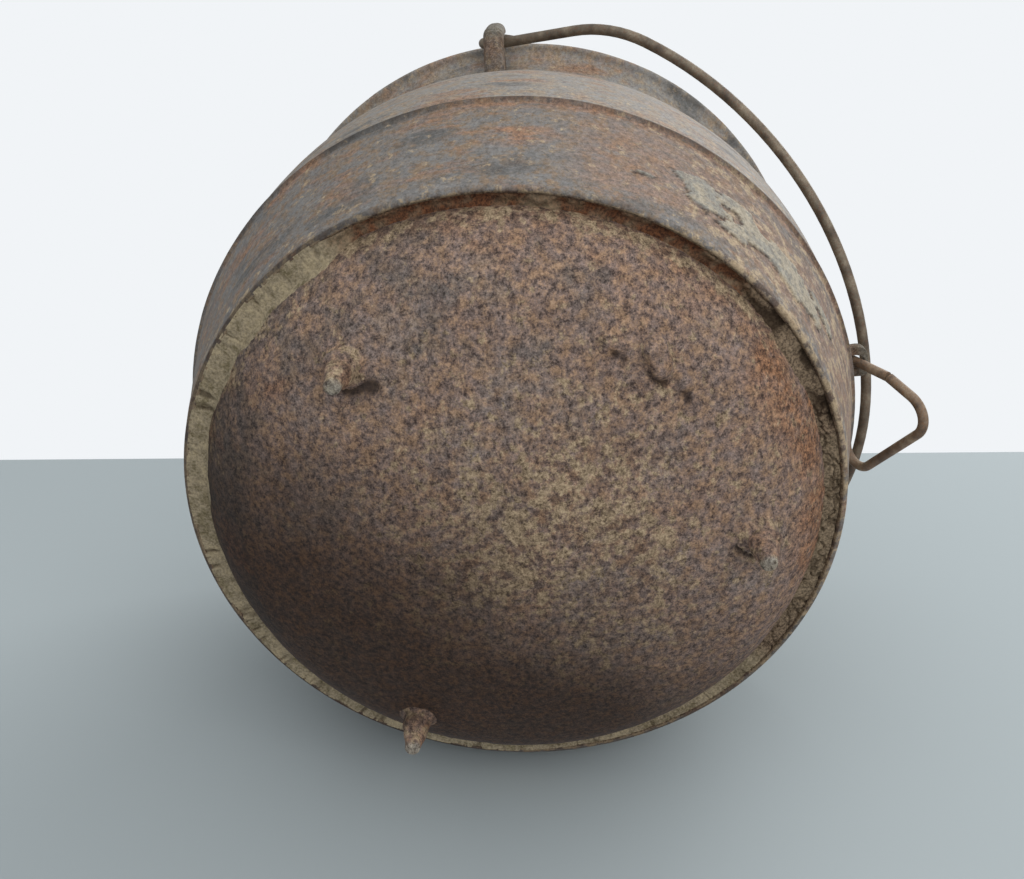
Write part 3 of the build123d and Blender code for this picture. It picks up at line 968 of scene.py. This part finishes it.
@dataclass
class Wall:
    """The band, belly and rim above the bottom, each turned with a slightly uneven skin.

    Heights are measured from the lip's edge.
    """

    floor_height: float = 7.6 * MM      # joint between bottom and band
    band_height: float = 56.2 * MM      # joint between band and belly
    neck_height: float = 146 * MM       # joint between belly and rim
    flare_height: float = 165 * MM      # where the neck starts to flare
    under_height: float = 178.9 * MM    # underside of the rim
    top_height: float = 181.9 * MM
    neck_radius: float = 120 * MM
    flare_turn: float = 48.0            # degrees that the rim bends outwards
    belly_knots: tuple[tuple[float, float], ...] = (
        (127.4, 56.2), (128.45, 68), (129.05, 80), (129.2, 93), (128.7, 107), (126.6, 122),
        (122.8, 135.5), (120.0, 146),
    )                                   # radius and height in millimetres
    fine_step: float = 0.75 * MM
    step: float = 1.5 * MM
    inner_step: float = 4 * MM

    def band_profile(self) -> Profile:
        """Closed outline of the conical band with its moulding line.

        Returns:
            Radius and height, outside first.
        """
        foot = LIP_RADIUS + FLARE * self.floor_height
        top = LIP_RADIUS + FLARE * self.band_height
        low, high = LIP_Z + self.floor_height, LIP_Z + self.band_height
        moulding = [(-0.65, 2.6), (0.5, 1.9), (0.8, 1.1), (0.5, 0.3), (0.0, 0.0)]
        outside = [(foot, low), *((top + r * MM, high - z * MM) for r, z in moulding)]
        inside = [(top - WALL, high), (foot - WALL, low)]
        return spaced(outside, self.fine_step) + spaced(inside, self.inner_step) + [(foot, low)]

    def belly_points(self, inset: float) -> Profile:
        """Curve of the belly and shoulder, inset from the outside."""
        points = [(r * MM - inset, LIP_Z + z * MM) for r, z in self.belly_knots]
        return smooth_curve(points, 8)

    def belly_profile(self) -> Profile:
        """Closed outline of the belly.

        Returns:
            Radius and height, outside first.
        """
        inside = self.belly_points(WALL)[::-1]
        outside = self.belly_points(0)
        return spaced(outside, self.step) + spaced(inside, self.inner_step) + [outside[0]]

    def rim_profile(self) -> Profile:
        """Closed outline of the neck and the flared rim.

        Returns:
            Radius and height, outside first.
        """
        neck, bore, top = self.neck_radius, self.neck_radius - WALL, LIP_Z + self.top_height
        start, under = LIP_Z + self.flare_height, LIP_Z + self.under_height
        turn = math.radians(self.flare_turn)
        flare = (under - start) / math.sin(turn)
        inner = flare + 3 * MM / math.sin(turn)
        # A tongue behind the belly's upper edge closes the joint between the two
        joint, behind = LIP_Z + self.neck_height, neck - 0.25 * MM
        outside = [(behind, joint - 1 * MM), (behind, joint), (neck, joint)]
        outside += arc((neck + flare, start), flare, 180, 180 - self.flare_turn, 12)
        lip = [(128.6 * MM, under), (129.3 * MM, under + 0.7 * MM), (129.5 * MM, under + 1.5 * MM)]
        lip += [(129.2 * MM, top - 0.6 * MM), (128.4 * MM, top)]
        inside = [*arc((bore + inner, start), inner, 180 - self.flare_turn, 180, 12), (bore, joint)]
        return spaced(outside + lip + inside, self.step) + [outside[0]]

    def relief(self, points: np.ndarray) -> np.ndarray:
        """Uneven skin: shallow waves, and flakes of scale on the band."""
        fine = 0.06 * MM * rough(points, 3 * MM, 5) + 0.18 * MM * rough(points, 22 * MM, 9, 2)
        return fine * 0.9 - 0.14 * MM + 0.5 * MM * smooth_step(self.flake_field(points), 0.0, 0.06)

    def flake_field(self, points: np.ndarray) -> np.ndarray:
        """Plates of old scale that still stick to the band on one side.

        Args:
            points: Positions on the wall.

        Returns:
            Values above 0 on a plate, one per point.
        """
        z = (points[:, 2] - LIP_Z) / MM
        drawn = points * np.array([1, 1, 1.7])
        here = sector(points, 228, 13, 12) * smooth_step(z, 9, 17) * smooth_step(z, 40, 30)
        outside = radius_of(points) > 111 * MM + 0.26 * (points[:, 2] - LIP_Z)
        plates = rough(drawn, 10 * MM, 61, 5) + 0.85 * here - 0.6
        return np.where(outside & (here > 0.02), plates, -1.0)

    def zones(self, points: np.ndarray) -> dict[Zone, np.ndarray]:
        """What lies on the wall, and the shade painted on it.

        Args:
            points: Positions on it.

        Returns:
            Values from 0 to 1 by zone.
        """
        z = (points[:, 2] - LIP_Z) / MM
        drawn = points * np.array([1, 1, 2.6])
        patches = rough(drawn, 26 * MM, 71, 4)
        # Painted shade along the moulding line
        step_line = np.exp(-(((z - 55.4) / 1.6) ** 2))
        flakes = self.flake_field(points)
        plate = smooth_step(flakes, 0.0, 0.06)
        edge = np.exp(-((flakes / 0.04) ** 2)) * smooth_step(rough(points, 6 * MM, 83), -0.5, 0.0)
        rust = smooth_step(patches, 0.15, 0.5) * 0.8
        under_line = np.exp(-(((z - 52.5) / 3.5) ** 2))
        rust = np.maximum(rust, 0.7 * under_line * sector(points, 218, 34, 20))
        low_band = smooth_step(z, 4, 10) * smooth_step(z, 60, 40)
        rust = np.maximum(rust, 0.5 * sector(points, 238, 36, 12) * low_band)
        soot = smooth_step(rough(drawn, 24 * MM, 77, 4), 0.1, 0.4) * 0.8
        lip = smooth_step(z, 1.8, 0.6)
        dust = 0.4 * plate + 0.3 * lip + 0.3 * smooth_step(z, 14, 3) * sector(points, 110, 35, 20)
        splashed = sector(points, 252, 30, 18) * smooth_step(z, 75, 45)
        dust = dust + 0.45 * splashed * smooth_step(patches, -0.5, 0.1)
        crack = 0.7 * smooth_step(z, 1.5, 0.5) * sector(points, 90, 66, 20) + 0.9 * edge
        crack = crack + 0.5 * step_line * smooth_step(rough(drawn, 12 * MM, 87), -0.5, 0.3)
        return {
            Zone.RUST: rust * (1 - plate),
            Zone.SOOT: soot * (1 - plate) * (1 - rust),
            Zone.DUST: dust,
            Zone.WORN: 0.5 * plate + 0.4 * lip,
            # Darker towards the side that lies on the floor: painted shade, with some dirt; painted
            # shade along the moulding line
            Zone.GRIME_AND_SHADE: 0.75 * smooth_step(points[:, 0] / MM, 20, 110) + 0.5 * step_line,
            Zone.CRACK_AND_SHADE: crack,
        }

    def build(self, finishes: Finishes) -> None:
        """Makes, paints and dresses the three pieces.

        Args:
            finishes: The materials.
        """
        for name, node, profile, turns, material in (
            ("band_casting", "lower_band", self.band_profile(), 1080, finishes.band),
            ("belly_casting", "belly", self.belly_profile(), 480, finishes.belly),
            ("rim_casting", "rim", self.rim_profile(), 480, finishes.belly),
        ):
            piece = turned_piece(name, profile, turns, self.relief)
            for zone, values in self.zones(positions(piece)).items():
                paint(piece, zone, values)
            dress(piece, material, "kettle", "rusty_iron", node)


@dataclass
class LedgeCrust:
    """Old mortar in the recess between lip and bottom: flush, lumpy, or broken out by turns."""

    dish: DishedBottom = field(default_factory=DishedBottom)
    outer: float = 110.15 * MM
    width: float = 9.0 * MM
    back_height: float = 3.55 * MM      # depth of the ledge behind the lip's edge
    middle: float = 0.107               # radius at which lengths round the ring are measured
    blend: float = 0.5 * MM             # rounding between mortar and dish
    rows: int = 26
    turns: int = 1500
    cracks: int = 96
    seed: int = 12

    def profile(self) -> Profile:
        """Closed outline of the filling before it is worked.

        Returns:
            Radius and height, the visible side first.
        """
        step = self.width / self.rows
        flat = [(self.outer - step * i, LIP_Z) for i in range(self.rows + 1)]
        back = LIP_Z + self.back_height
        hidden = [(self.outer, back), (106.2 * MM, back), (103.0 * MM, back - 1.5 * MM)]
        return [*flat[::-1], *hidden, flat[-1]]

    def crack_field(self, points: np.ndarray, share: np.ndarray) -> np.ndarray:
        """Fine cracks that run from the lip towards the dish, from 0 to 1.

        Args:
            points: Positions of the mortar's vertices.
            share: Place across it, 0 at the lip and 1 at the dish.

        Returns:
            One value per point.
        """
        rng = np.random.default_rng(self.seed)
        along = np.radians(azimuth(points)) * self.middle
        crack = np.zeros(len(points))
        for _ in range(self.cracks):
            where = rng.uniform(0, 2 * math.pi) * self.middle
            slant, bend = rng.normal(0, 1.6) * MM, rng.normal(0, 1.5) * MM
            wander = 0.45 * MM * lattice_noise(points, 1.8 * MM, int(rng.integers(900)))
            away = along - where - slant * share - bend * share * (1 - share) * 2 - wander
            reach = smooth_step(share, rng.uniform(0.35, 0.95), rng.uniform(0.1, 0.3))
            width = rng.uniform(0.16, 0.34) * MM
            line = np.exp(-((away / width) ** 2)) * reach * rng.uniform(0.2, 0.9)
            crack = np.maximum(crack, line)
        return crack

    def build(self, finishes: Finishes) -> None:
        """Makes, paints and dresses the piece.

        Args:
            finishes: The materials.
        """
        piece = turned_piece("mortar_in_ledge", self.profile(), self.turns)
        points = positions(piece)
        front = np.abs(points[:, 2] - LIP_Z) < 0.01 * MM
        r0 = radius_of(points)
        share = np.clip((self.outer - r0) / self.width, 0, 1)
        gone = sector(points, 196, 34, 8)
        lumpy = sector(points, 243, 11, 6)
        coarse = sector(points, 281, 25, 6)
        flush = np.clip(1 - gone - lumpy - coarse, 0, 1)
        best_kept = sector(points, 85, 75, 20)
        wavy = rough(points, 7 * MM, 63, 3)
        lumps = rough(points, 5.0 * MM, 51, 4)
        knobs = rough(points, 9 * MM, 57, 4)
        crack = self.crack_field(points, share) * (flush + 0.6 * coarse)
        unrolled = [np.radians(azimuth(points)) * self.middle, r0 * 0.3, 0 * r0]
        streaks = smooth_step(rough(np.stack(unrolled, axis=1), 2.4 * MM, 95, 4), 0.12, 0.5)
        streaks = streaks * (0.35 + 0.65 * smooth_step(knobs, -0.2, 0.3))
        gaps = smooth_step(np.abs(rough(points, 4.5 * MM, 67, 3)), 0.14, 0.0)
        # Depth behind the lip's edge in millimetres: flush, coarse, lumpy and broken out
        depth = flush * (
            0.15 + 0.45 * np.abs(lumps) + 0.55 * crack + 0.5 * streaks - 0.28 * best_kept
        )
        depth = depth + coarse * (0.7 + 0.8 * np.abs(lumps) + 1.0 * gaps)
        sunk = -1.4 * smooth_step(knobs, -0.15, 0.35) + 1.4 * smooth_step(knobs, -0.1, -0.4)
        depth = depth + lumpy * (1.1 + sunk + 0.5 * lumps)
        hole = smooth_step(share + 0.3 * lumps, 0.0, 0.3)
        depth = depth + gone * (1.2 + 2.1 * hole + 0.8 * rough(points, 2.6 * MM, 69, 3))
        face = LIP_Z + np.clip(depth * MM, -0.25 * MM, 3.4 * MM)
        # The flush filling laps over the lip outside and feathers out on the dish inside
        overlap = (1.25 + 0.35 * wavy) * MM * flush * best_kept
        r = r0 + overlap * np.clip(1 - share * 4, 0, 1)
        layer = (0.35 - 1.3 * smooth_step(share + 0.12 * wavy, 0.62, 0.98)) * flush
        layer = layer - 0.9 * (1 - flush) - 0.6 * gone
        skin = self.dish.knuckle_z(r) - layer * MM
        mix = np.clip(0.5 + 0.5 * (skin - face) / self.blend, 0, 1)
        z = skin * (1 - mix) + face * mix - self.blend * mix * (1 - mix) * 0.5
        scale_out = np.where(front, r / r0, 1.0)
        points[:, 0] *= scale_out
        points[:, 1] = AXIS_Y + (points[:, 1] - AXIS_Y) * scale_out
        points[:, 2] = np.where(front, z, points[:, 2])
        reshape(piece, points)
        # Painted shade where the lumpy mortar lies deep and in the coarse gaps, besides darker
        # cracks and streaks
        hollow_shade = lumpy * smooth_step(points[:, 2] - LIP_Z, 0.9 * MM, 2.4 * MM)
        dark = 0.6 * crack + 0.7 * streaks * flush + 0.8 * hollow_shade + 0.45 * coarse * gaps
        paint(piece, Zone.CRACK_AND_SHADE, dark)
        paint(piece, Zone.RUST, gone * (0.45 + 0.5 * smooth_step(lumps, -0.3, 0.3)))
        paint(piece, Zone.SOOT, 0.9 * lumpy + 0.75 * coarse + 0.25 * sector(points, 330, 25, 15))
        dress(piece, finishes.mortar, "kettle", "mortar", "ledge_crust")


@dataclass
class SmallCastings:
    """Feet, ears and ring lug: rough little castings on the kettle."""

    feet: tuple[str, ...] = ("foot_1", "foot_2", "foot_3")
    lugs: tuple[str, ...] = ("ear_left", "ear_right", "ring_lug")
    foot_voxel: float = 0.45 * MM
    lug_voxel: float = 0.42 * MM

    def build(self, nodes: dict[str, Piece], finishes: Finishes) -> None:
        """Makes, paints and dresses the pieces.

        Args:
            nodes: The solids by name.
            finishes: The materials.
        """
        for name in self.feet:
            self.foot(name, nodes[name], finishes)
        for name in self.lugs:
            self.lug(name, nodes[name], finishes)

    def foot(self, name: str, node: Piece, finishes: Finishes) -> None:
        """Makes one foot: a lumpy cone, rusty on one flank, with a worn grey tip.

        Args:
            name: Node that it stands for.
            node: That node's object.
            finishes: The materials.
        """
        low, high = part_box(name)
        middle = (low + high) / 2

        def relief(points: np.ndarray) -> np.ndarray:
            """Lumps that leave the tip as it is and thicken the root.

            Args:
                points: Positions on the foot.

            Returns:
                How far each point moves outwards, in metres.
            """
            height = (points[:, 2] - low.z) / MM
            swell = 0.9 * smooth_step(height, 3, 9) * smooth_step(height, 16, 12)
            return MM * (swell + smooth_step(height, 1, 4) * 0.6 * rough(points, 5 * MM, 13, 3))

        piece = cast_copy(f"{name}_casting", node, self.foot_voxel, 3, relief)
        points = positions(piece)
        height = (points[:, 2] - low.z) / MM
        patch = rough(points, 4 * MM, 19)
        side = ((points[:, 0] - middle.x) - (points[:, 1] - middle.y)) / MM
        flank = smooth_step(height, 1, 3) * smooth_step(height, 16, 10)
        values = DishedBottom().zones(points)
        values[Zone.WORN] = 0.65 * smooth_step(height + 2.5 * patch, 2.4, 0.0)
        values[Zone.RUST] = (0.25 + 0.5 * smooth_step(side + 2 * patch, -1, 4)) * flank
        values[Zone.DUST] = 0.3 * values[Zone.DUST] + 0.2 + 0.35 * smooth_step(patch, -0.2, 0.4)
        values[Zone.CRACK_AND_SHADE] = 0 * height
        # Some of the dish's dirt and painted shade, less towards the tip
        values[Zone.GRIME_AND_SHADE] = 0.55 * values[Zone.GRIME_AND_SHADE] * smooth_step(height, 4, 12)
        for zone, value in values.items():
            paint(piece, zone, value)
        dress(piece, finishes.bottom, "kettle", "rusty_iron", name)

    def lug(self, name: str, node: Piece, finishes: Finishes) -> None:
        """Makes an ear or the ring lug: grey where the wires rub, rusty elsewhere.

        Args:
            name: Node that it stands for.
            node: That node's object.
            finishes: The materials.
        """
        on_ring_lug = name == "ring_lug"

        def relief(points: np.ndarray) -> np.ndarray:
            """Uneven skin."""
            return 0.1 * MM * rough(points, 3 * MM, 23, 2) - 0.09 * MM

        piece = cast_copy(f"{name}_casting", node, self.lug_voxel, 1 if on_ring_lug else 3, relief)
        if on_ring_lug:
            self.narrow_hole(piece)
        points = positions(piece)
        reach = radius_of(points) / MM
        patch = rough(points, 7 * MM, 29)
        paint(piece, Zone.WORN, 0.6 * smooth_step(reach + 2 * patch, 135.0, 138.0))
        paint(piece, Zone.RUST, 0.5 * smooth_step(patch, 0.0, 0.5) * smooth_step(reach, 139, 134))
        paint(piece, Zone.GRIME_AND_SHADE, 0.35 * np.ones(len(points)))
        dress(piece, finishes.lug, "kettle", "rusty_iron", name)

    def narrow_hole(self, piece: Piece) -> None:
        """Narrows the ring lug's hole with rust, on both sides of the ring's wire.

        Args:
            piece: The ring lug.
        """
        points = positions(piece)
        turn = math.radians(LUG_AZIMUTH)
        out = np.array([math.cos(turn), math.sin(turn)])
        along = np.array([-math.sin(turn), math.cos(turn)])
        offset = points[:, :2] - np.array(polar(LUG_HOLE_CIRCLE, LUG_AZIMUTH)[:2])
        near = smooth_step(np.linalg.norm(offset, axis=1), 6.2 * MM, 4.0 * MM)
        near = near * (np.abs(offset @ out) < 6 * MM)
        points[:, :2] -= np.outer(0.3 * (offset @ along) * near, along)
        reshape(piece, points)


@dataclass
class Wires:
    """Bail and tipping ring keep their solids, which are right, and get the finish of old wire."""

    def build(self, nodes: dict[str, Piece], finishes: Finishes) -> None:
        """Dresses both wires.

        Args:
            nodes: The solids by name.
            finishes: The materials.
        """
        for name, material in (("bail", finishes.bail), ("tipping_ring", finishes.ring)):
            coat(nodes[name], material)
            LOG.info("%s keeps its solid", name)


# ---------------------------------------------------------------- stage, light and camera


@dataclass
class Studio:
    """Pale floors, soft lamps and the camera.

    The kettle lies on its +X side for the main camera, so "up" there points along lie_up.
    """

    lie_up: Vector = field(default_factory=lambda: Vector((-0.981, -0.120, 0.156)).normalized())
    eye: Vector = field(default_factory=lambda: Vector((-180.5, -24.953, -243.6)) * MM)
    forward: Vector = field(default_factory=lambda: Vector((0.4714, 0.1038, 0.8759)))
    right: Vector = field(default_factory=lambda: Vector((0.1168, -0.9918, 0.0547)))
    lamp_target: Vector = field(default_factory=lambda: Vector((0, 0, 0.11)))
    lens: float = 34.45
    sensor: float = 36.0
    floor_colour: str = "#9ea6a8"
    wall_colour: str = "#f1f4f7"
    sky_colour: str = "#f2f6fa"
    sky_strength: float = 0.55
    floor_reach: float = 3.0
    near_edge: float = -1.2
    far_edge: tuple[float, float] = (0.225, 0.591)    # where the lying floor ends, left and right

    def one_sided(self, name: str, corners: list[Vector]) -> None:
        """Adds a plane that is seen from its front only and never shades the kettle.

        Args:
            name: Name of the plane.
            corners: Its corners, anticlockwise seen from the front.
        """
        piece = new_piece(name, np.array([tuple(c) for c in corners]), [tuple(range(len(corners)))])
        material, tree, shader = new_material(name)
        shader.inputs["Base Color"].default_value = linear(self.floor_colour)
        shader.inputs["Roughness"].default_value = 0.9
        shader.inputs["Specular IOR Level"].default_value = 0.1
        behind = add(tree, "NewGeometry", out=6)
        clear = add(tree, "BsdfTransparent")
        mix = add(tree, "MixShader", i0=behind, i1=shader.outputs[0], i2=clear)
        tree.links.new(mix, tree.nodes["Material Output"].inputs["Surface"])
        coat(piece, material)
        piece.visible_shadow = False
        piece.visible_diffuse = False
        piece.visible_glossy = False

    def floors(self, solids: list[Piece]) -> None:
        """Adds the level floor and the floor under the lying kettle.

        Args:
            solids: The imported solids, which lie on it.
        """
        far = self.floor_reach
        level = [Vector((x, y, 0)) for x, y in ((-far, -far), (far, -far), (far, far), (-far, far))]
        self.one_sided("level_floor", level)
        up = self.lie_up
        contact = min(float(np.min(positions(s) @ np.array(up))) for s in solids)
        away = (self.forward - up * self.forward.dot(up)).normalized()
        side = away.cross(up)
        (left, right), near = self.far_edge, self.near_edge
        corners = ((near, -far), (near, far), (right, far), (left, -far))
        self.one_sided("lying_floor", [up * contact + away * a + side * b for a, b in corners])

    def lamp(self, name: str, at: Vector, size: float, power: float) -> None:
        """Adds a soft square lamp that faces the kettle.

        Args:
            name: Name of the lamp.
            at: Its place.
            size: Length of its sides, in metres.
            power: Its power, in watts.
        """
        light = bpy.data.lights.new(name, "AREA")
        light.size = size
        light.energy = power
        lamp = bpy.data.objects.new(name, light)
        turn = (self.lamp_target - at).to_track_quat("-Z", "Y").to_matrix().to_4x4()
        lamp.matrix_world = Matrix.Translation(at) @ turn
        bpy.context.scene.collection.objects.link(lamp)

    def world(self) -> None:
        """Even light for the kettle, and a white wall for the camera."""
        world = bpy.data.worlds.new("studio")
        bpy.context.scene.world = world
        world.use_nodes = True
        tree = world.node_tree
        light = tree.nodes["Background"]
        light.inputs["Color"].default_value = linear(self.sky_colour)
        light.inputs["Strength"].default_value = self.sky_strength
        seen = add(tree, "Background", Color=linear(self.wall_colour), Strength=1.0)
        mix = add(tree, "MixShader", i0=add(tree, "LightPath"), i1=light.outputs[0], i2=seen)
        tree.links.new(mix, tree.nodes["World Output"].inputs["Surface"])

    def camera(self) -> None:
        """Adds the camera below the kettle, rolled as the kettle lies."""
        back = -self.forward.normalized()
        right = (self.right - back * self.right.dot(back)).normalized()
        up = back.cross(right)
        data = bpy.data.cameras.new("camera")
        data.lens = self.lens
        data.sensor_width = self.sensor
        data.clip_start = 0.01
        camera = bpy.data.objects.new("camera", data)
        turn = Matrix((right, up, back)).transposed().to_4x4()
        camera.matrix_world = Matrix.Translation(self.eye) @ turn
        bpy.context.scene.collection.objects.link(camera)
        bpy.context.scene.camera = camera

    def build(self, solids: list[Piece]) -> None:
        """Sets up stage, lamps, world and camera.

        Args:
            solids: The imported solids.
        """
        self.floors(solids)
        self.lamp("sky_over_lying_kettle", Vector((-1.5, -0.25, -0.25)), 2.4, 18)
        self.lamp("front_of_lying_kettle", Vector((-0.75, -0.95, -1.1)), 1.4, 12)
        self.lamp("sky_over_standing_kettle", Vector((-0.5, -0.9, 1.5)), 1.4, 22)
        self.world()
        self.camera()
        bpy.context.scene.view_settings.view_transform = "Standard"


def main() -> None:
    """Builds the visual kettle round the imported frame."""
    logging.basicConfig(level=logging.INFO, format="%(name)s: %(message)s")
    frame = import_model()
    nodes = frame["nodes"]
    finishes = Finishes()
    DishedBottom().build(finishes)
    Wall().build(finishes)
    LedgeCrust().build(finishes)
    SmallCastings().build(nodes, finishes)
    Wires().build(nodes, finishes)
    Studio().build(list(nodes.values()))


if __name__ == "__main__":
    main()
